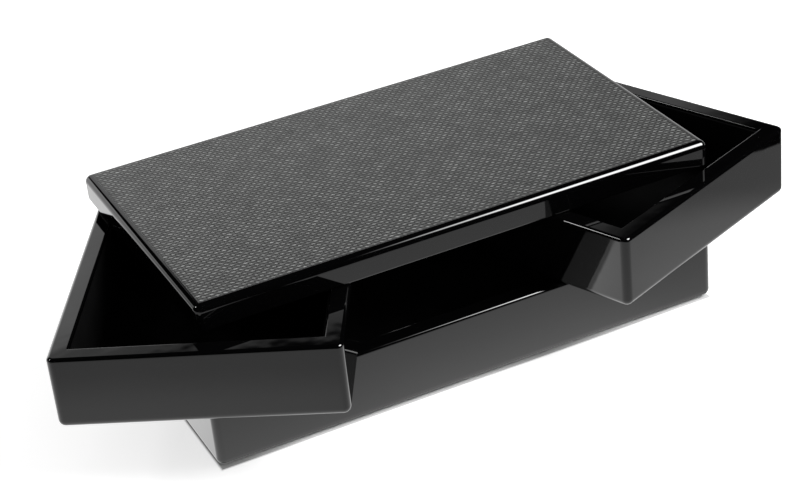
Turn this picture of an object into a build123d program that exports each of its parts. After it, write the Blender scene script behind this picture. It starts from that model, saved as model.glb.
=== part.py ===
"""Keepsake box of black lacquered board: a base, two trays that swing out on pins, and a fixed lid.

Millimetres, +Z up, +Y to the back. The origin is the middle of the face that the box rests on.
The trays are modelled turned out from under the lid, the right one a little less than the left.
"""

from build123d import *
from math import sqrt
import os

# Outline of the closed box
box_length = 300.0
box_width = 172.0
wall = 10.0

# Heights of the layers, and the gaps that let the trays turn between them
base_wall_height = 40.0
tray_height = 41.2
lid_thickness = 14.6
gap_under_trays = 1.2
gap_over_trays = 0.4

# How far each tray stands open, in degrees from closed
left_open_angle = 29.0
right_open_angle = 22.5

# Rounding of the lacquered edges: the upright corners, the foot and the top of the lid share one
# radius
corner_radius = 4.0
rim_edge_radius = 2.0
inner_rim_radius = 0.8
lid_bottom_edge_radius = 1.0

# Floor panels, let into a rebate round the foot of the walls
floor_thickness = 5.0
floor_lip = 5.0
floor_fit = 0.2

# Velvet on card inside, felt underneath
floor_lining_thickness = 2.0
lining_thickness = 1.2
lining_fit = 0.1
lining_below_rim = 1.6
base_felt_thickness = 1.0
base_felt_inset = 6.0
tray_felt_thickness = 0.9
tray_felt_inset = 4.5

# Pivots: a steel pin through a brass bush in the outer wall of each tray
pin_diameter = 4.0
pin_setback = 18.0
middle_clearance = 0.25
pin_depth_in_base = 28.0
pin_depth_in_lid = 8.5
pin_end_room = 0.5
pin_chamfer = 0.4
pin_seat_fit = 0.05
bush_diameter = 6.0
bush_running_fit = 0.05
bush_seat_fit = 0.05
washer_diameter = 7.0
washer_bore_fit = 0.15
washer_end_play = 0.1
felt_room_round_washer = 0.5

# Woven-look panel let into the top of the lid
panel_thickness = 1.0
panel_inset = 4.2
panel_corner_radius = 1.5
panel_fit = 0.05

# Levels and places that follow from the sizes above
base_foot = base_felt_thickness
base_rim = base_foot + base_wall_height
tray_foot = base_rim + gap_under_trays
tray_rim = tray_foot + tray_height
lid_underside = tray_rim + gap_over_trays
pin_x = (box_length - wall) / 2
pin_y = box_width / 2 - pin_setback

# The inner back corner of a tray swings out past its inner wall as the tray turns. The trays are
# just short enough for that rounded corner to stay its clearance away from the middle of the box.
swing_radius = pin_x - middle_clearance - corner_radius
pin_to_inner_face = corner_radius + sqrt(swing_radius**2 - (pin_setback - corner_radius) ** 2)
tray_length = pin_to_inner_face + wall / 2
tray_centre = (box_length - tray_length) / 2
open_angles = {"left": left_open_angle, "right": right_open_angle}

STANDING = (Align.CENTER, Align.CENTER, Align.MIN)
SIDES = {"left": -1, "right": 1}
END_PLACES = {"foot": 0, "top": -1}
CORNERS = {
    "front": ((-1, -1), (1, -1)),
    "right": ((1, -1), (1, 1)),
    "back": ((1, 1), (-1, 1)),
    "left": ((-1, 1), (-1, -1)),
}


def rounded_block(length, width, height, end):
    """Block on z = 0 with its upright corners rounded, and the edge round its top or its foot."""
    block = Box(length, width, height, align=STANDING)
    return fillet(block.edges().filter_by(Axis.Z) + end_face(block, end).edges(), corner_radius)


def end_face(block, end):
    """The top or the foot of a block, as a face."""
    return block.faces().sort_by(Axis.Z)[END_PLACES[end]]


def sheet(length, width, thickness, radius):
    """Flat sheet on z = 0 with its corners rounded in plan."""
    slab = Box(length, width, thickness, align=STANDING)
    return fillet(slab.edges().filter_by(Axis.Z), radius)


def wall_ring(length, width, height):
    """The four walls of a base or tray before they are parted at the mitres."""
    ring = rounded_block(length, width, height, "foot")
    ring = fillet(end_face(ring, "top").edges(), rim_edge_radius)
    inner_length = length - 2 * wall
    inner_width = width - 2 * wall
    ring -= Box(inner_length, inner_width, height, align=STANDING)
    ring -= Box(length - 2 * floor_lip, width - 2 * floor_lip, floor_thickness, align=STANDING)
    rim = ring.edges().filter_by_position(Axis.Z, height, height)
    inner_rim = rim.filter_by(
        lambda edge: abs(edge.center().X) <= inner_length / 2 and abs(edge.center().Y) <= inner_width / 2
    )
    return fillet(inner_rim, inner_rim_radius)


def between_mitres(length, width, height, side):
    """Prism that holds one wall: its two ends run at 45 degrees through the corners."""

    def corner(inset, along, across):
        return (along * (length / 2 - inset), across * (width / 2 - inset))

    start, end = CORNERS[side]
    outline = Polyline(
        corner(-wall, *start),
        corner(-wall, *end),
        corner(2 * wall, *end),
        corner(2 * wall, *start),
        close=True,
    )
    return extrude(make_face(outline), height)


def mitred_walls(length, width, height):
    """The four walls, each a board with true mitres and its share of the rounded corners."""
    ring = wall_ring(length, width, height)
    return {side: ring & between_mitres(length, width, height, side) for side in CORNERS}


def floor_panel(length, width):
    """Board that fills the rebate at the foot of the walls."""
    lip_and_fit = floor_lip + floor_fit
    return Box(length - 2 * lip_and_fit, width - 2 * lip_and_fit, floor_thickness, align=STANDING)


def floor_lining(length, width):
    """Velvet-covered card that lies on the floor panel, edge to edge."""
    margin = 2 * (wall + lining_fit)
    card = Box(length - margin, width - margin, floor_lining_thickness, align=STANDING)
    return Pos(0, 0, floor_thickness + lining_fit) * card


def wall_linings(length, width, height):
    """Velvet-covered strips on the inside of the walls, from the floor to just under the rim."""
    foot = floor_thickness + floor_lining_thickness + 2 * lining_fit
    lining_height = height - lining_below_rim - foot
    inner_length = length - 2 * (wall + lining_fit)
    inner_width = width - 2 * (wall + lining_fit)
    long_strip = Box(inner_length, lining_thickness, lining_height, align=STANDING)
    side_length = inner_width - 2 * (lining_thickness + lining_fit)
    side_strip = Box(lining_thickness, side_length, lining_height, align=STANDING)
    across = (inner_width - lining_thickness) / 2
    along = (inner_length - lining_thickness) / 2
    return {
        "front": Pos(0, -across, foot) * long_strip,
        "back": Pos(0, across, foot) * long_strip,
        "left": Pos(-along, 0, foot) * side_strip,
        "right": Pos(along, 0, foot) * side_strip,
    }


def at_pin(side, level, shape):
    """Stand a piece made round the z axis on the pin of one side."""
    return Pos(SIDES[side] * pin_x, pin_y, level) * shape


def ring_solid(outer_radius, inner_radius, height):
    """Plain ring or tube standing on z = 0."""
    return Cylinder(outer_radius, height, align=STANDING) - Cylinder(inner_radius, height, align=STANDING)


def base_pieces():
    """Base compartment: four walls, floor, velvet inside and felt underneath."""
    pieces = {}
    for side, board in mitred_walls(box_length, box_width, base_wall_height).items():
        pieces[f"base_{side}_wall"] = Pos(0, 0, base_foot) * board
    seat_depth = pin_depth_in_base + pin_end_room
    seat = Cylinder(pin_diameter / 2 + pin_seat_fit, seat_depth, align=STANDING)
    for side in SIDES:
        pieces[f"base_{side}_wall"] -= at_pin(side, base_rim - seat_depth, seat)
    pieces["base_floor"] = Pos(0, 0, base_foot) * floor_panel(box_length, box_width)
    pieces["base_floor_lining"] = Pos(0, 0, base_foot) * floor_lining(box_length, box_width)
    for side, strip in wall_linings(box_length, box_width, base_wall_height).items():
        pieces[f"base_{side}_lining"] = Pos(0, 0, base_foot) * strip
    felt_length = box_length - 2 * base_felt_inset
    felt_width = box_width - 2 * base_felt_inset
    pieces["base_underside_felt"] = Box(felt_length, felt_width, base_felt_thickness, align=STANDING)
    return pieces


def tray_pieces(side):
    """One tray at rest: made where it closes, then turned out about its pin."""
    outer, inner = ("left", "right") if side == "left" else ("right", "left")
    made = {}
    for wall_side, board in mitred_walls(tray_length, box_width, tray_height).items():
        made[f"{wall_side}_wall"] = board
    made["floor"] = floor_panel(tray_length, box_width)
    made["floor_lining"] = floor_lining(tray_length, box_width)
    for wall_side, strip in wall_linings(tray_length, box_width, tray_height).items():
        made[f"{wall_side}_lining"] = strip
    felt_length = tray_length - 2 * tray_felt_inset
    felt_width = box_width - 2 * tray_felt_inset
    felt = Box(felt_length, felt_width, tray_felt_thickness, align=STANDING)
    made["underside_felt"] = Pos(0, 0, -tray_felt_thickness) * felt
    closed = Pos(SIDES[side] * tray_centre, 0, tray_foot)
    made = {name: closed * shape for name, shape in made.items()}
    bush_bore = Cylinder(bush_diameter / 2 + bush_seat_fit, tray_height, align=STANDING)
    for drilled in (f"{outer}_wall", "floor"):
        made[drilled] -= at_pin(side, tray_foot, bush_bore)
    washer_room = washer_diameter / 2 + felt_room_round_washer
    felt_hole = Cylinder(washer_room, tray_felt_thickness, align=STANDING)
    made["underside_felt"] -= at_pin(side, tray_foot - tray_felt_thickness, felt_hole)
    bush_inner = pin_diameter / 2 + bush_running_fit
    made["pivot_bush"] = at_pin(side, tray_foot, ring_solid(bush_diameter / 2, bush_inner, tray_height))
    pin_axis = Axis((SIDES[side] * pin_x, pin_y, 0), (0, 0, 1))
    pieces = {}
    for name, shape in made.items():
        plain_name = name.replace(f"{outer}_", "outer_").replace(f"{inner}_", "inner_")
        pieces[f"{side}_tray_{plain_name}"] = shape.rotate(pin_axis, SIDES[side] * open_angles[side])
    return pieces


def pivot_pins():
    """Pins that stand in the base, carry the trays and hold the lid."""
    pin_foot = base_rim - pin_depth_in_base
    pin_length = lid_underside + pin_depth_in_lid - pin_foot
    pin = Cylinder(pin_diameter / 2, pin_length, align=STANDING)
    pin = chamfer(pin.edges().filter_by(GeomType.CIRCLE), pin_chamfer)
    return {f"{side}_pivot_pin": at_pin(side, pin_foot, pin) for side in SIDES}


def pivot_washers():
    """Thin washers on the pins: one pair under the trays, one pair between the trays and the lid."""
    washer_bore = pin_diameter / 2 + washer_bore_fit
    lower = ring_solid(washer_diameter / 2, washer_bore, gap_under_trays - washer_end_play)
    upper = ring_solid(washer_diameter / 2, washer_bore, gap_over_trays - washer_end_play)
    return {
        "lower_washers": Compound([at_pin(side, base_rim, lower) for side in SIDES]),
        "upper_washers": Compound([at_pin(side, tray_rim + washer_end_play, upper) for side in SIDES]),
    }


def lid_pieces():
    """Lid board with blind holes for the pins, and the woven-look panel let into its top."""
    board = rounded_block(box_length, box_width, lid_thickness, "top")
    board = fillet(end_face(board, "foot").edges(), lid_bottom_edge_radius)
    panel_length = box_length - 2 * panel_inset
    panel_width = box_width - 2 * panel_inset
    recess = sheet(panel_length, panel_width, panel_thickness, panel_corner_radius)
    board -= Pos(0, 0, lid_thickness - panel_thickness) * recess
    board = Pos(0, 0, lid_underside) * board
    seat_depth = pin_depth_in_lid + pin_end_room
    seat = Cylinder(pin_diameter / 2 + pin_seat_fit, seat_depth, align=STANDING)
    for side in SIDES:
        board -= at_pin(side, lid_underside, seat)
    panel = sheet(
        panel_length - 2 * panel_fit,
        panel_width - 2 * panel_fit,
        panel_thickness,
        panel_corner_radius - panel_fit,
    )
    panel_level = lid_underside + lid_thickness - panel_thickness
    return {"lid_board": board, "lid_top_panel": Pos(0, 0, panel_level) * panel}


def all_pieces():
    """Every piece of the box by name."""
    pieces = base_pieces()
    pieces.update(pivot_pins())
    pieces.update(pivot_washers())
    for side in SIDES:
        pieces.update(tray_pieces(side))
    pieces.update(lid_pieces())
    return pieces


os.makedirs("parts", exist_ok=True)
for piece_name, piece in all_pieces().items():
    export_step(piece, f"parts/{piece_name}.step")
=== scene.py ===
import math

import bmesh
import bpy
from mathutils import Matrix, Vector


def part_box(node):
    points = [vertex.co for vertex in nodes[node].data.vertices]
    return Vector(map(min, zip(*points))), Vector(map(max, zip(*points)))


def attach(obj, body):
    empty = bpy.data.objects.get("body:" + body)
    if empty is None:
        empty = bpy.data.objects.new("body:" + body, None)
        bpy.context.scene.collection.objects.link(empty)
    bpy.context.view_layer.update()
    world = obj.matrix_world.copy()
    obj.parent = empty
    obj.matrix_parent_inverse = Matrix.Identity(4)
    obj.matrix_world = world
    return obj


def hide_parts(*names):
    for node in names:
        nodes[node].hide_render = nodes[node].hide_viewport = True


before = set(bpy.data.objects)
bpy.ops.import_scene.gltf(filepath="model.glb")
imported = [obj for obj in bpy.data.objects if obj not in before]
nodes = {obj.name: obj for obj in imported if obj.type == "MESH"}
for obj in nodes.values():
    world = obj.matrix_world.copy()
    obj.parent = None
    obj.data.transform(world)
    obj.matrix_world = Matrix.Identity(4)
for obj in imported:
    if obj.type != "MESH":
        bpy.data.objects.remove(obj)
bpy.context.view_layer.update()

scene = bpy.context.scene
scene.view_settings.view_transform = "Standard"

# ==== Base: walls and floor board ====
# The four mitred boards of the base and the board let into their foot. All are sprayed with black
# lacquer, rubbed down and polished, so that they mirror the room with only a trace of ripple.


def feed(tree, node, inputs):
    """Link the node's inputs to other nodes' outputs, or set them, each by its name or number."""
    for name, value in inputs.items():
        if isinstance(value, bpy.types.NodeSocket):
            tree.links.new(value, node.inputs[name])
        else:
            node.inputs[name].default_value = value


def add_node(tree, kind, inputs=None, **settings):
    """New node with its settings and its inputs."""
    node = tree.nodes.new(kind)
    for name, value in settings.items():
        setattr(node, name, value)
    feed(tree, node, inputs or {})
    return node


def calc(tree, operation, *values):
    """Result of one step of arithmetic."""
    return add_node(tree, "ShaderNodeMath", dict(enumerate(values)), operation=operation).outputs[0]


def ramp(tree, value, start, end, low, high, shape="SMOOTHSTEP"):
    """Value that goes from low to high as the input goes from start to end."""
    inputs = {"Value": value, "From Min": start, "From Max": end, "To Min": low, "To Max": high}
    return add_node(tree, "ShaderNodeMapRange", inputs, interpolation_type=shape).outputs["Result"]


def own_place(tree):
    """Place of each point of the piece, in metres."""
    return add_node(tree, "ShaderNodeTexCoord").outputs["Object"]


def noise(tree, place, size, detail=0.0):
    """Soft random pattern whose lumps are about size metres across."""
    inputs = {"Vector": place, "Scale": 1 / size, "Detail": detail}
    return add_node(tree, "ShaderNodeTexNoise", inputs).outputs["Fac"]


def new_group(name, inputs, outputs):
    """Empty shader group with named sockets, what it is given, and its end node."""
    group = bpy.data.node_groups.new(name, "ShaderNodeTree")
    for way, sockets in (("INPUT", inputs), ("OUTPUT", outputs)):
        for title, kind in sockets.items():
            group.interface.new_socket(title, in_out=way, socket_type=kind)
    return group, group.nodes.new("NodeGroupInput").outputs, group.nodes.new("NodeGroupOutput")


def place_group(tree, group, inputs):
    """Outputs of the group, placed in a material with that material's own values."""
    return add_node(tree, "ShaderNodeGroup", inputs, node_tree=group).outputs


def new_material(name, shader_values):
    """Material with plain values on its shader, and its tree and shader."""
    material = bpy.data.materials.new(name)
    material.use_nodes = True
    shader = material.node_tree.nodes["Principled BSDF"]
    feed(material.node_tree, shader, shader_values)
    return material, material.node_tree, shader


def relief(tree, height):
    """Normal of a surface with that height, in metres."""
    return add_node(tree, "ShaderNodeBump", {"Height": height, "Distance": 1.0}).outputs["Normal"]


def paint_nodes(names, material):
    """Give CAD pieces their finish."""
    for name in names:
        nodes[name].data.materials.clear()
        nodes[name].data.materials.append(material)


# polish: long ripples, the fine peel of sprayed paint, wiped smudges and a little dust
ripple_size = 0.028
peel_size = 0.006
smudge_size = 0.022
smudge_span = (0.45, 0.75)
dust_spacing = 0.007
dust_share = 0.25
speck_radius = 0.02  # as a share of the spacing
dust_grey = (0.02, 0.02, 0.02, 1)
dust_roughness = 0.3
COLOUR, NUMBER = "NodeSocketColor", "NodeSocketFloat"
SURFACE = {"Color": COLOUR, "Roughness": NUMBER, "Height": NUMBER}
polish, given, end = new_group(
    "polish",
    {
        "Paint": COLOUR,
        "Ripple Depth": NUMBER,
        "Peel Depth": NUMBER,
        "Clean Roughness": NUMBER,
        "Smudge Roughness": NUMBER,
    },
    SURFACE,
)
place = own_place(polish)
ripples = calc(polish, "MULTIPLY", noise(polish, place, ripple_size), given["Ripple Depth"])
peel = calc(polish, "MULTIPLY", noise(polish, place, peel_size), given["Peel Depth"])
smudges = ramp(polish, noise(polish, place, smudge_size, detail=3.0), *smudge_span, 0.0, 1.0)
smudged = calc(polish, "MULTIPLY_ADD", smudges, given["Smudge Roughness"], given["Clean Roughness"])
dust = add_node(polish, "ShaderNodeTexVoronoi", {"Vector": place, "Scale": 1 / dust_spacing}).outputs
draw = add_node(polish, "ShaderNodeSeparateColor", {0: dust["Color"]}).outputs[0]
speck = calc(
    polish,
    "MULTIPLY",
    calc(polish, "LESS_THAN", dust["Distance"], speck_radius),
    calc(polish, "LESS_THAN", draw, dust_share),
)
# inputs 6 and 7 of a Mix node and its output 2 are its colours
dusty = add_node(
    polish, "ShaderNodeMix", {"Factor": speck, 6: given["Paint"], 7: dust_grey}, data_type="RGBA"
).outputs[2]
feed(
    polish,
    end,
    {
        "Color": dusty,
        "Roughness": calc(polish, "MULTIPLY_ADD", speck, dust_roughness, smudged),
        "Height": calc(polish, "ADD", ripples, peel),
    },
)

black_lacquer, tree, shader = new_material(
    "black_lacquer", {"Coat Weight": 1.0, "Coat Roughness": 0.015}
)
skin = place_group(
    tree,
    polish,
    {
        "Paint": (0.0012, 0.0012, 0.0013, 1),
        "Ripple Depth": 6e-5,
        "Peel Depth": 8e-6,
        "Clean Roughness": 0.03,
        "Smudge Roughness": 0.05,
    },
)
wavy = relief(tree, skin["Height"])
feed(tree, shader, {"Base Color": skin["Color"], "Roughness": skin["Roughness"]})
feed(tree, shader, {"Normal": wavy, "Coat Normal": wavy})
WALLS = ("front", "back", "left", "right")
paint_nodes([f"base_{side}_wall" for side in WALLS] + ["base_floor"], black_lacquer)

# ==== Base: velvet inside and felt underneath ====
# Cards covered with black velvet stand against the walls and lie on the floor board, their cloth
# rolled over every edge. A sheet of black felt is glued under the base.


def shade_of(tree, colour, strength):
    """The colour made lighter or darker."""
    inputs = {0: colour, "Scale": strength}
    return add_node(tree, "ShaderNodeVectorMath", inputs, operation="SCALE").outputs[0]


# fibres: a fine pile, with painted sheen that makes patches brushed one way or the other lighter or
# darker
sheen_patch_size = 0.025
sheen_patch_span = (0.35, 0.65)
fibre_contrast = 1.2
darkest_fibre = 0.4
fibres, given, end = new_group(
    "fibres",
    {"Cloth": COLOUR, "Fibre Size": NUMBER, "Fibre Depth": NUMBER, "Brushed Sheen": NUMBER},
    {"Color": COLOUR, "Height": NUMBER},
)
place = own_place(fibres)
pile = add_node(
    fibres,
    "ShaderNodeTexNoise",
    {"Vector": place, "Scale": calc(fibres, "DIVIDE", 1.0, given["Fibre Size"]), "Detail": 2.0},
).outputs["Fac"]
sheen_patches = ramp(fibres, noise(fibres, place, sheen_patch_size, detail=2.0), *sheen_patch_span, -1.0, 1.0)
brushed_sheen = calc(fibres, "MULTIPLY_ADD", sheen_patches, given["Brushed Sheen"], 1.0)
tone = calc(fibres, "MULTIPLY_ADD", pile, fibre_contrast, darkest_fibre)
tone = calc(fibres, "MULTIPLY", brushed_sheen, tone)
feed(
    fibres,
    end,
    {
        "Color": shade_of(fibres, given["Cloth"], tone),
        "Height": calc(fibres, "MULTIPLY", pile, given["Fibre Depth"]),
    },
)


def cloth(name, sheen, values):
    """Matt cloth with its own colour, fibres and the painted sheen of its brushed patches."""
    material, tree, shader = new_material(
        name,
        {"Roughness": 0.95, "Specular IOR Level": 0.05, "Sheen Weight": sheen, "Sheen Roughness": 0.4},
    )
    nap = place_group(tree, fibres, values)
    feed(tree, shader, {"Base Color": nap["Color"], "Normal": relief(tree, nap["Height"])})
    return material


black_velvet = cloth(
    "black_velvet",
    sheen=0.01,
    values={
        "Cloth": (0.0016, 0.0016, 0.0017, 1),
        "Fibre Size": 0.0004,
        "Fibre Depth": 0.00012,
        "Brushed Sheen": 0.35,
    },
)
black_felt = cloth(
    "black_felt",
    sheen=0.05,
    values={
        "Cloth": (0.007, 0.007, 0.0073, 1),
        "Fibre Size": 0.0009,
        "Fibre Depth": 0.0002,
        "Brushed Sheen": 0.12,
    },
)
velvet_edge = 0.0005
felt_edge = 0.0002
merge_gap = 1e-6
flat_angle = math.radians(2)
corner_angle = math.radians(40)
edge_facets = 3


def rolled_copy(name, edge, material, body):
    """Copy of a plain cloth piece with its edges rounded, which stands for it."""
    work = bmesh.new()
    for vertex in nodes[name].data.vertices:
        work.verts.new(vertex.co)
    work.verts.ensure_lookup_table()
    for polygon in nodes[name].data.polygons:
        work.faces.new([work.verts[index] for index in polygon.vertices])
    bmesh.ops.remove_doubles(work, verts=work.verts, dist=merge_gap)
    bmesh.ops.dissolve_limit(work, angle_limit=flat_angle, verts=work.verts, edges=work.edges)
    sharp = [line for line in work.edges if line.calc_face_angle(0.0) > corner_angle]
    rolled = bmesh.ops.bevel(
        work, geom=sharp, offset=edge, segments=edge_facets, profile=0.5, affect="EDGES"
    )
    for face in rolled["faces"]:
        face.smooth = True
    bmesh.ops.recalc_face_normals(work, faces=work.faces)
    mesh = bpy.data.meshes.new(f"{name}_cloth")
    work.to_mesh(mesh)
    work.free()
    mesh.materials.append(material)
    piece = bpy.data.objects.new(f"{name}_cloth", mesh)
    scene.collection.objects.link(piece)
    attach(piece, body)
    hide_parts(name)


for side in WALLS + ("floor",):
    rolled_copy(f"base_{side}_lining", velvet_edge, black_velvet, "case")
rolled_copy("base_underside_felt", felt_edge, black_felt, "case")

# ==== Pivots ====
# Two ground steel pins are pressed into the base and hold the lid. Brass bushes, let into the trays,
# turn on them, with thin nylon washers below and above each tray.


def axes(tree, place):
    """The X, Y and Z of a place."""
    return add_node(tree, "ShaderNodeSeparateXYZ", {0: place}).outputs


def vary(tree, pattern, low, high):
    """Value between low and high that follows a soft random pattern."""
    pattern_low, pattern_high = 0.3, 0.7
    return ramp(tree, pattern, pattern_low, pattern_high, low, high)


# turning: fine rings round the piece, and stains from handling
mark_pitch = 0.00012
mark_roughness = 0.15
stain_size = 0.004
stain_tone = (0.85, 1.05)
turning, given, end = new_group(
    "turning", {"Metal": COLOUR, "Clean Roughness": NUMBER, "Mark Depth": NUMBER}, SURFACE
)
place = own_place(turning)
marks = add_node(
    turning,
    "ShaderNodeTexNoise",
    {"W": axes(turning, place)["Z"], "Scale": 1 / mark_pitch, "Detail": 1.0},
    noise_dimensions="1D",
).outputs["Fac"]
stains = vary(turning, noise(turning, place, stain_size, detail=2.0), *stain_tone)
feed(
    turning,
    end,
    {
        "Color": shade_of(turning, given["Metal"], stains),
        "Roughness": calc(turning, "MULTIPLY_ADD", marks, mark_roughness, given["Clean Roughness"]),
        "Height": calc(turning, "MULTIPLY", marks, given["Mark Depth"]),
    },
)


def turned_metal(name, values):
    """Bare metal with fine rings from the lathe or the grinder."""
    material, tree, shader = new_material(name, {"Metallic": 1.0})
    metal = place_group(tree, turning, values)
    feed(tree, shader, {"Base Color": metal["Color"], "Roughness": metal["Roughness"]})
    feed(tree, shader, {"Normal": relief(tree, metal["Height"])})
    return material


ground_steel = turned_metal(
    "ground_steel", {"Metal": (0.56, 0.56, 0.57, 1), "Clean Roughness": 0.18, "Mark Depth": 5e-7}
)
turned_brass = turned_metal(
    "turned_brass", {"Metal": (0.72, 0.53, 0.24, 1), "Clean Roughness": 0.24, "Mark Depth": 2e-6}
)

nylon_grey = (0.02, 0.02, 0.02)
nylon_tone = (0.8, 1.2)
nylon_roughness = (0.4, 0.55)
grain_size = 0.0005
grain_depth = 1e-5
black_nylon, tree, shader = new_material("black_nylon", {"Sheen Weight": 0.05})
grain = noise(tree, own_place(tree), grain_size, detail=2.0)
feed(
    tree,
    shader,
    {
        "Base Color": shade_of(tree, nylon_grey, vary(tree, grain, *nylon_tone)),
        "Roughness": vary(tree, grain, *nylon_roughness),
        "Normal": relief(tree, calc(tree, "MULTIPLY", grain, grain_depth)),
    },
)

TRAYS = ("left", "right")
paint_nodes([f"{side}_pivot_pin" for side in TRAYS], ground_steel)
paint_nodes([f"{side}_tray_pivot_bush" for side in TRAYS], turned_brass)
paint_nodes(["lower_washers", "upper_washers"], black_nylon)

# ==== Trays ====
# Each tray is built as the base is: lacquered walls mitred at the corners, a floor board, velvet
# cards inside, and felt underneath, which slides over the base as the tray swings out.
TRAY_WALLS = ("front", "back", "outer", "inner")
for side in TRAYS:
    tray = f"{side}_tray"
    paint_nodes([f"{tray}_{wall}_wall" for wall in TRAY_WALLS] + [f"{tray}_floor"], black_lacquer)
    for wall in TRAY_WALLS + ("floor",):
        rolled_copy(f"{tray}_{wall}_lining", velvet_edge, black_velvet, tray)
    rolled_copy(f"{tray}_underside_felt", felt_edge, black_felt, tray)

# ==== Lid board ====
# One solid board, lacquered like the walls. Its top edge and corners are well rounded, and a shallow
# recess in its top takes the woven panel.
paint_nodes(["lid_board"], black_lacquer)

# ==== Woven panel ====
# A sheet with the look of a plain weave of flat dark strands, let in flush with the lid. Where a
# strand passes over its neighbours it stands up in a small crown, lighter than the strands below:
# its light dye is a painted highlight.
strand_pitch = 0.00218
row_pitch = 0.00233
panel_low, panel_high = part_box("lid_top_panel")
strand_count = int((panel_high[0] - panel_low[0]) / strand_pitch)
row_count = int((panel_high[1] - panel_low[1]) / row_pitch)

# strand: long fibres with a satin gloss, dyed a little unevenly
fibre_width = 0.00012
fibre_stretch = 12
fibre_tone = (0.75, 1.25)
fibre_roughness = (0.30, 0.42)
dye_patch = 0.012
dye_tone = (0.85, 1.15)
strand, given, end = new_group("strand", {"Dye": COLOUR, "Fibre Depth": NUMBER}, SURFACE)
place = own_place(strand)
along = add_node(
    strand, "ShaderNodeMapping", {"Vector": place, "Scale": (1 / fibre_stretch, 1, 1)}
).outputs[0]
streaks = noise(strand, along, fibre_width, detail=1.0)
dyed = vary(strand, noise(strand, place, dye_patch, detail=2.0), *dye_tone)
tone = calc(strand, "MULTIPLY", dyed, vary(strand, streaks, *fibre_tone))
feed(
    strand,
    end,
    {
        "Color": shade_of(strand, given["Dye"], tone),
        "Roughness": vary(strand, streaks, *fibre_roughness),
        "Height": calc(strand, "MULTIPLY", streaks, given["Fibre Depth"]),
    },
)

sheet_values = {"Coat Weight": 0.6, "Coat Roughness": 0.28}
fibre_depth = 3e-6
lower_dye = (0.034, 0.035, 0.034, 1)
# the crowns' light dye is a painted highlight, where each crown catches the light
crown_highlight_dye = (0.31, 0.316, 0.31, 1)

# the strands below are rounded between the crossings; painted shade darkens the gaps from strand to
# strand, and painted light brightens the strands where they swell
quilt_depth = 8e-5
gap_shade_end = 0.5
swell_light = 1.5
strand_below, tree, shader = new_material("strand_below", sheet_values)
parts = place_group(tree, strand, {"Dye": lower_dye, "Fibre Depth": fibre_depth})
spot = axes(tree, own_place(tree))
swell = 1.0
for position, count, pitch in (
    (spot["X"], strand_count, strand_pitch),
    (spot["Y"], row_count, row_pitch),
):
    turns = calc(tree, "MULTIPLY_ADD", position, math.pi / pitch, math.pi * (count - 1) / 2)
    swell = calc(tree, "MULTIPLY", swell, calc(tree, "ABSOLUTE", calc(tree, "COSINE", turns)))
painted_gap_shade = ramp(tree, swell, 0.0, gap_shade_end, 0.0, swell_light)
quilt = calc(tree, "MULTIPLY_ADD", swell, quilt_depth, parts["Height"])
feed(
    tree,
    shader,
    {
        "Base Color": shade_of(tree, parts["Color"], painted_gap_shade),
        "Roughness": parts["Roughness"],
        "Normal": relief(tree, quilt),
    },
)
paint_nodes(["lid_top_panel"], strand_below)

# painted shade darkens a crown at its foot and a painted highlight lightens its top, each crown's
# highlight a little stronger or weaker at random
crown_height = 0.00015
crown_foot, crown_top = panel_high[2], panel_high[2] + crown_height
crown_foot_shade = 0.1
strand_crown, tree, shader = new_material("strand_crown", sheet_values)
parts = place_group(tree, strand, {"Dye": crown_highlight_dye, "Fibre Depth": fibre_depth})
level = axes(tree, own_place(tree))["Z"]
highlight_strength = add_node(tree, "ShaderNodeAttribute", attribute_name="lightness").outputs["Fac"]
crown_light_ramp = ramp(tree, level, crown_foot, crown_top, crown_foot_shade, 1.0, "LINEAR")
tone = calc(tree, "MULTIPLY", crown_light_ramp, highlight_strength)
feed(
    tree,
    shader,
    {
        "Base Color": shade_of(tree, parts["Color"], tone),
        "Roughness": parts["Roughness"],
        "Normal": relief(tree, parts["Height"]),
    },
)

# the crowns stand at every second crossing, row by row, like the black squares of a chessboard
WEAVE_INPUTS = {
    "Strands": ("NodeSocketInt", strand_count),
    "Rows": ("NodeSocketInt", row_count),
    "Strand Pitch": (NUMBER, strand_pitch),
    "Row Pitch": (NUMBER, row_pitch),
    "Crown Length": (NUMBER, 0.0029),
    "Crown Width": (NUMBER, 0.0012),
    "Crown Height": (NUMBER, crown_height),
    "Slant": (NUMBER, math.radians(-18)),
    "Level": (NUMBER, crown_foot),
    "Seed": ("NodeSocketInt", 7),
}
crown_points = 5  # along each side of a crown's grid
slant_spread = 0.22
size_spread = (0.8, 1.12)
height_spread = (0.75, 1.2)
lightness_spread = (0.75, 1.2)
weave = bpy.data.node_groups.new("crowns_of_the_weave", "GeometryNodeTree")
for title, (kind, value) in WEAVE_INPUTS.items():
    weave.interface.new_socket(title, in_out="INPUT", socket_type=kind)
weave.interface.new_socket("Geometry", in_out="OUTPUT", socket_type="NodeSocketGeometry")
given = add_node(weave, "NodeGroupInput").outputs


def step(kind, geometry, **inputs):
    """The geometry after one more node."""
    return add_node(weave, kind, {"Geometry": geometry, **inputs}).outputs[0]


def grid(length, width, columns, rows):
    """Flat grid of points round the origin."""
    inputs = {"Size X": length, "Size Y": width, "Vertices X": columns, "Vertices Y": rows}
    return add_node(weave, "GeometryNodeMeshGrid", inputs).outputs["Mesh"]


def point_axes():
    """The X, Y and Z of each point of the grid that it is used on."""
    return axes(weave, add_node(weave, "GeometryNodeInputPosition").outputs[0])


def combined(x=0.0, y=0.0, z=0.0):
    """Vector made of three numbers."""
    return add_node(weave, "ShaderNodeCombineXYZ", {0: x, 1: y, 2: z}).outputs[0]


def reach(count, pitch):
    """Distance from the first crossing to the last one."""
    return calc(weave, "MULTIPLY", calc(weave, "SUBTRACT", count, 1.0), pitch)


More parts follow.
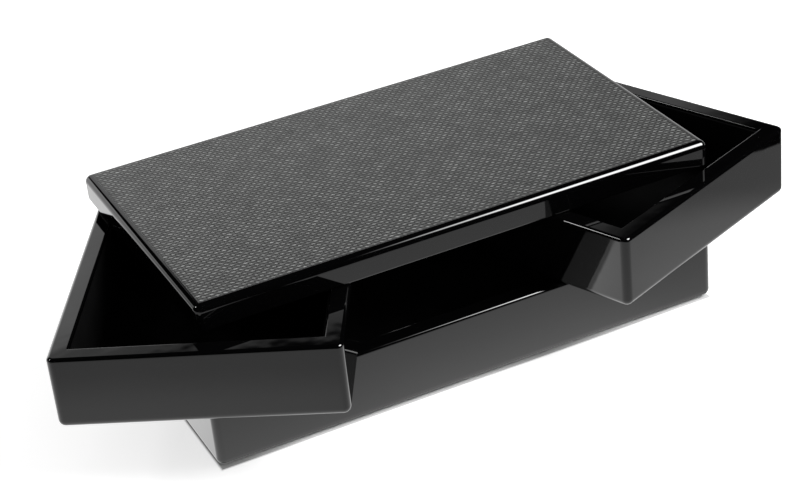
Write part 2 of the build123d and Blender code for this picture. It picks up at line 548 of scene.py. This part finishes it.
def counted(position, length, pitch):
    """Number of a strand or row, from its place in the mat."""
    from_edge = calc(weave, "MULTIPLY_ADD", length, 0.5, position)
    return calc(weave, "ROUND", calc(weave, "DIVIDE", from_edge, pitch))


def arch(position):
    """Height of a low arch over a span from -0.5 to 0.5."""
    fall = calc(weave, "MULTIPLY", calc(weave, "POWER", position, 2.0), 4.0)
    return calc(weave, "SUBTRACT", 1.0, fall)


def chance(low, high, draw):
    """Random number between low and high for each crown, which differs from draw to draw."""
    seed = calc(weave, "ADD", given["Seed"], draw)
    return add_node(weave, "FunctionNodeRandomValue", {2: low, 3: high, "Seed": seed}).outputs[1]


mat_length = reach(given["Strands"], given["Strand Pitch"])
mat_width = reach(given["Rows"], given["Row Pitch"])
crossings = grid(mat_length, mat_width, given["Strands"], given["Rows"])
# how strong each crown's painted highlight is, at random
lightness = chance(*lightness_spread, draw=5.0)
crossings = step("GeometryNodeStoreNamedAttribute", crossings, Name="lightness", Value=lightness)
spot = point_axes()
column = counted(spot["X"], mat_length, given["Strand Pitch"])
row = counted(spot["Y"], mat_width, given["Row Pitch"])
odd = calc(weave, "FLOORED_MODULO", calc(weave, "ADD", column, row), 2.0)

spot = point_axes()
rise = calc(weave, "MULTIPLY", arch(spot["X"]), arch(spot["Y"]))
flat = grid(1.0, 1.0, crown_points, crown_points)
domed = step("GeometryNodeSetPosition", flat, Offset=combined(z=rise))
size = combined(given["Crown Length"], given["Crown Width"], given["Crown Height"])
crown = step("GeometryNodeTransform", domed, Scale=size)

turn = calc(weave, "ADD", given["Slant"], chance(-slant_spread, slant_spread, draw=1.0))
crowns = add_node(
    weave,
    "GeometryNodeInstanceOnPoints",
    {
        "Points": crossings,
        "Selection": calc(weave, "LESS_THAN", odd, 0.5),
        "Instance": crown,
        "Rotation": combined(z=turn),
        "Scale": combined(
            chance(*size_spread, draw=2.0),
            chance(*size_spread, draw=3.0),
            chance(*height_spread, draw=4.0),
        ),
    },
).outputs[0]
lifted = step("GeometryNodeTransform", crowns, Translation=combined(z=given["Level"]))
real = step("GeometryNodeRealizeInstances", lifted)
smooth = step("GeometryNodeSetShadeSmooth", real)
dyed = step("GeometryNodeSetMaterial", smooth, Material=strand_crown)
add_node(weave, "NodeGroupOutput", {"Geometry": dyed})

woven_crowns = bpy.data.objects.new("woven_crowns", bpy.data.meshes.new("woven_crowns"))
scene.collection.objects.link(woven_crowns)
maker = woven_crowns.modifiers.new("weave", "NODES")
maker.node_group = weave
for item in weave.interface.items_tree:
    if item.in_out == "INPUT":
        maker[item.identifier] = WEAVE_INPUTS[item.name][1]
made = woven_crowns.evaluated_get(bpy.context.evaluated_depsgraph_get())
woven_mesh = bpy.data.meshes.new_from_object(made)
woven_crowns.modifiers.clear()
woven_crowns.data = woven_mesh
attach(woven_crowns, "case")

# ==== Table ====
# A table covered with matt white paper, under soft light. It keeps the shadow of the box. What
# polished lacquer mirrors is the pool of light on it, which fades to the front and ends at the right.
table_reach = 6.0
table_white = (0.8, 0.8, 0.8)
paper_size = 0.05
paper_tone = (0.97, 1.0)


def product(tree, *values):
    """All the values multiplied, one after the other."""
    result, *others = values
    for value in others:
        result = calc(tree, "MULTIPLY", result, value)
    return result


def distance(tree, place, centre):
    """How far each place is from the centre."""
    inputs = {0: place, 1: centre}
    return add_node(tree, "ShaderNodeVectorMath", inputs, operation="DISTANCE").outputs["Value"]


def second_glance(tree, path):
    """Share of light that is left when lacquer mirrors what other lacquer mirrors."""
    second_share = 0.2
    return ramp(tree, path["Glossy Depth"], 1.0, 2.0, 1.0, second_share, "LINEAR")


def where(tree, test, shader, otherwise=None):
    """The shader where the test holds, and the other one, or nothing, where it doesn't."""
    inputs = {"Fac": test, 2: shader}
    if otherwise is not None:
        inputs[1] = otherwise
    return add_node(tree, "ShaderNodeMixShader", inputs).outputs[0]


bpy.ops.mesh.primitive_plane_add(size=2 * table_reach)
table = bpy.context.object
table.name = "white_table"
table_paint = bpy.data.materials.new("white_table")
table_paint.use_nodes = True
tree = table_paint.node_tree
tree.nodes.clear()
place = own_place(tree)
spot = axes(tree, place)
across, deep = spot["X"], spot["Y"]
path = add_node(tree, "ShaderNodeLightPath").outputs

# the pool is brightest at the foot of the box and falls off to the front and to both sides
box_front = -0.087
foot_light = 0.67
fall_off = 0.06
left_span = (-0.34, -0.02)
middle_span, past_middle = (0.07, 0.15), 0.68
right_span = (0.17, 0.28)
to_front = calc(tree, "SUBTRACT", calc(tree, "MINIMUM", deep, box_front), box_front)
near_light = product(
    tree,
    calc(tree, "EXPONENT", calc(tree, "DIVIDE", to_front, fall_off)),
    foot_light,
    ramp(tree, across, *left_span, 0.0, 1.0, "LINEAR"),
    ramp(tree, across, *middle_span, 1.0, past_middle),
    ramp(tree, across, *right_span, 1.0, 0.0, "LINEAR"),
)
# it lies over an even light, with a brighter strip below the left tray
front_light, light_below = 0.38, 0.58
strip_light = 0.11
strip_slope, strip_span = 0.51, (-0.309, -0.264)
strip_end = (-0.16, -0.06)
even_light = ramp(tree, deep, box_front, 0.0, front_light, light_below)
to_strip = calc(tree, "MULTIPLY_ADD", across, strip_slope, deep)
strip = product(
    tree,
    ramp(tree, to_strip, *strip_span, 0.0, strip_light),
    ramp(tree, across, *strip_end, 1.0, 0.0),
)
pool = calc(tree, "ADD", calc(tree, "ADD", near_light, even_light), strip)
# in front of the box it fades to the right, and ends there along a slanting line
fade_slope, fade_span, faded = -0.62, (0.31, 0.36), 0.34
end_span = (0.310, 0.314)
front_span = (-0.04, 0.05)
to_right = calc(tree, "MULTIPLY_ADD", deep, fade_slope, across)
to_end = calc(tree, "MULTIPLY", calc(tree, "SUBTRACT", across, deep), math.sqrt(0.5))
fading = ramp(tree, to_right, *fade_span, 0.0, faded)
ending = ramp(tree, to_end, *end_span, 0.0, 1.0)
in_front = ramp(tree, deep, *front_span, 1.0, 0.0)
darkened = calc(tree, "MULTIPLY", calc(tree, "MAXIMUM", fading, ending), in_front)
pool = calc(tree, "MULTIPLY", pool, calc(tree, "SUBTRACT", 1.0, darkened))
# a small bright patch lies in front of the right tray
patch_centre, patch_rim, patch_light = (0.235, -0.235, 0.0), (0.015, 0.045), 0.35
patch = ramp(tree, distance(tree, place, patch_centre), *patch_rim, patch_light, 0.0)
pool = calc(tree, "ADD", pool, patch)
# and the paper is shaded close to the foot of the box and below it
foot_shade, shade_width = 0.4, 0.002
foot_low, foot_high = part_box("base_front_wall")
past_end = calc(tree, "SUBTRACT", calc(tree, "ABSOLUTE", across), foot_high[0])
past_front = calc(tree, "SUBTRACT", calc(tree, "ABSOLUTE", deep), -foot_low[1])
from_box = calc(tree, "MAXIMUM", past_end, past_front)
contact = ramp(tree, from_box, 0.0, shade_width, foot_shade, 1.0)
pool = product(tree, pool, contact, second_glance(tree, path))

# the camera sees the paper itself, lifted to white all round the box
lift_to_white, lift_span = 0.7, (-0.0005, 0.0015)
paper = vary(tree, noise(tree, place, paper_size, detail=3.0), *paper_tone)
white = shade_of(tree, table_white, paper)
white = add_node(tree, "ShaderNodeBsdfDiffuse", {"Color": white}).outputs[0]
glow = ramp(tree, from_box, *lift_span, 0.0, lift_to_white)
glow = add_node(tree, "ShaderNodeEmission", {"Strength": glow}).outputs[0]
glow = where(tree, path["Is Camera Ray"], glow)
lit = add_node(tree, "ShaderNodeAddShader", {0: white, 1: glow}).outputs[0]
mirrored = add_node(tree, "ShaderNodeEmission", {"Strength": pool}).outputs[0]
shown = where(tree, path["Is Glossy Ray"], mirrored, otherwise=lit)
add_node(tree, "ShaderNodeOutputMaterial", {"Surface": shown})
table.data.materials.append(table_paint)

# ==== Studio surround ====
# A dark studio with a white backdrop behind the box. The camera sees plain white; the lacquer
# mirrors the backdrop, which is brightest low down and ends above and at both sides.
room_light = 0.5
world = bpy.data.worlds.new("studio")
scene.world = world
world.use_nodes = True
tree = world.node_tree
tree.nodes.clear()
toward = axes(tree, add_node(tree, "ShaderNodeTexCoord").outputs["Generated"])
path = add_node(tree, "ShaderNodeLightPath").outputs
# directions in degrees: azimuth from the back towards the right, and elevation
azimuth = calc(tree, "DEGREES", calc(tree, "ARCTAN2", toward["X"], toward["Y"]))
elevation = calc(tree, "DEGREES", calc(tree, "ARCSINE", toward["Z"]))

# the backdrop's upper edge is thin and dim, and hangs low at the left and high in the middle
foot_to_top, foot_bright, top_bright = (12.0, 31.0), 1.25, 0.48
sag_span, left_sag = (-34.0, 2.0), 17.0
rise_span, middle_rise = (4.0, 13.0), 2.0
thin_span, thin_bright = (31.0, 31.6), 0.46
top_span = (31.85, 32.25)
sag = ramp(tree, azimuth, *sag_span, left_sag, 0.0)
rise = ramp(tree, azimuth, *rise_span, middle_rise, 0.0)
hung = calc(tree, "SUBTRACT", calc(tree, "ADD", elevation, sag), rise)
# it comes up from its left end, is brighter up to the middle, dims past it and ends on a slant
left_span = (-40.0, -22.0)
half_span, left_half = (12.5, 14.5), 1.28
right_span, right_half = (22.0, 30.0), 0.52
slant, slant_span = 1.13, (61.7, 65.1)
slanted = calc(tree, "MULTIPLY_ADD", elevation, slant, azimuth)
backdrop = product(
    tree,
    ramp(tree, elevation, *foot_to_top, foot_bright, top_bright, "LINEAR"),
    ramp(tree, hung, *thin_span, 1.0, thin_bright),
    ramp(tree, hung, *top_span, 1.0, 0.0),
    ramp(tree, azimuth, *left_span, 0.0, 1.0),
    ramp(tree, azimuth, *half_span, left_half, 1.0),
    ramp(tree, azimuth, *right_span, 1.0, right_half),
    ramp(tree, slanted, *slant_span, 1.0, 0.0),
    second_glance(tree, path),
)
room = add_node(tree, "ShaderNodeBackground", {"Strength": room_light}).outputs[0]
mirrored = add_node(tree, "ShaderNodeBackground", {"Strength": backdrop}).outputs[0]
seen = add_node(tree, "ShaderNodeBackground", {"Strength": 1.0}).outputs[0]
for_lacquer = where(tree, path["Is Glossy Ray"], mirrored, otherwise=room)
for_camera = where(tree, path["Is Camera Ray"], seen, otherwise=for_lacquer)
add_node(tree, "ShaderNodeOutputWorld", {"Surface": for_camera})

# ==== Softbox ====
# One round softbox stands high at the front right. It draws the white lines along the rounded
# edges. Its cloth is brightest in the middle and dim at the rim.
lamp_distance = 2.6
lamp_aim = Vector((0, 0, 0.09))
cloth_middle = (0.5, 0.5, 0.0)
rim_span = (0.30, 0.5)


def hang_lamp(name, toward, half_angle, radiance):
    """Round lamp that hangs in one direction from the box, faces it and looks that wide from it."""
    lamp = bpy.data.lights.new(name, "AREA")
    lamp.shape = "DISK"
    lamp.size = 2 * lamp_distance * math.tan(math.radians(half_angle))
    lamp.energy = radiance * math.pi * math.pi * (lamp.size / 2) ** 2
    holder = bpy.data.objects.new(name, lamp)
    scene.collection.objects.link(holder)
    toward = Vector(toward).normalized()
    holder.location = lamp_aim + toward * lamp_distance
    holder.rotation_euler = toward.to_track_quat("Z", "Y").to_euler()
    return lamp


softbox = hang_lamp("softbox", toward=(0.60, -0.45, 0.66), half_angle=20, radiance=13)
softbox.use_nodes = True
tree = softbox.node_tree
place = add_node(tree, "ShaderNodeNewGeometry").outputs["Parametric"]
path = add_node(tree, "ShaderNodeLightPath").outputs
to_rim = ramp(tree, distance(tree, place, cloth_middle), *rim_span, 1.0, 0.0)
feed(tree, tree.nodes["Emission"], {"Strength": product(tree, to_rim, second_glance(tree, path))})

# ==== Side lamp ====
# A small lamp stands high at the back left, with no cloth before it. It gives the thin glints on
# edges that face the left.
hang_lamp("side_lamp", toward=(-0.645, 0.328, 0.683), half_angle=6, radiance=8)

# ==== Camera ====
# The box is seen from the front left and from well above, through a long lens that keeps its edges
# nearly parallel, with the camera tilted a little to one side.
camera_turn = (60.058, 6.023, -24.909)
camera_data = bpy.data.cameras.new("camera")
camera_data.sensor_width = 36
camera_data.lens = 95.2
camera_data.shift_x = 0.073
camera = bpy.data.objects.new("camera", camera_data)
camera.location = (-0.40664, -0.94765, 0.63732)
camera.rotation_euler = [math.radians(angle) for angle in camera_turn]
scene.collection.objects.link(camera)
scene.camera = camera
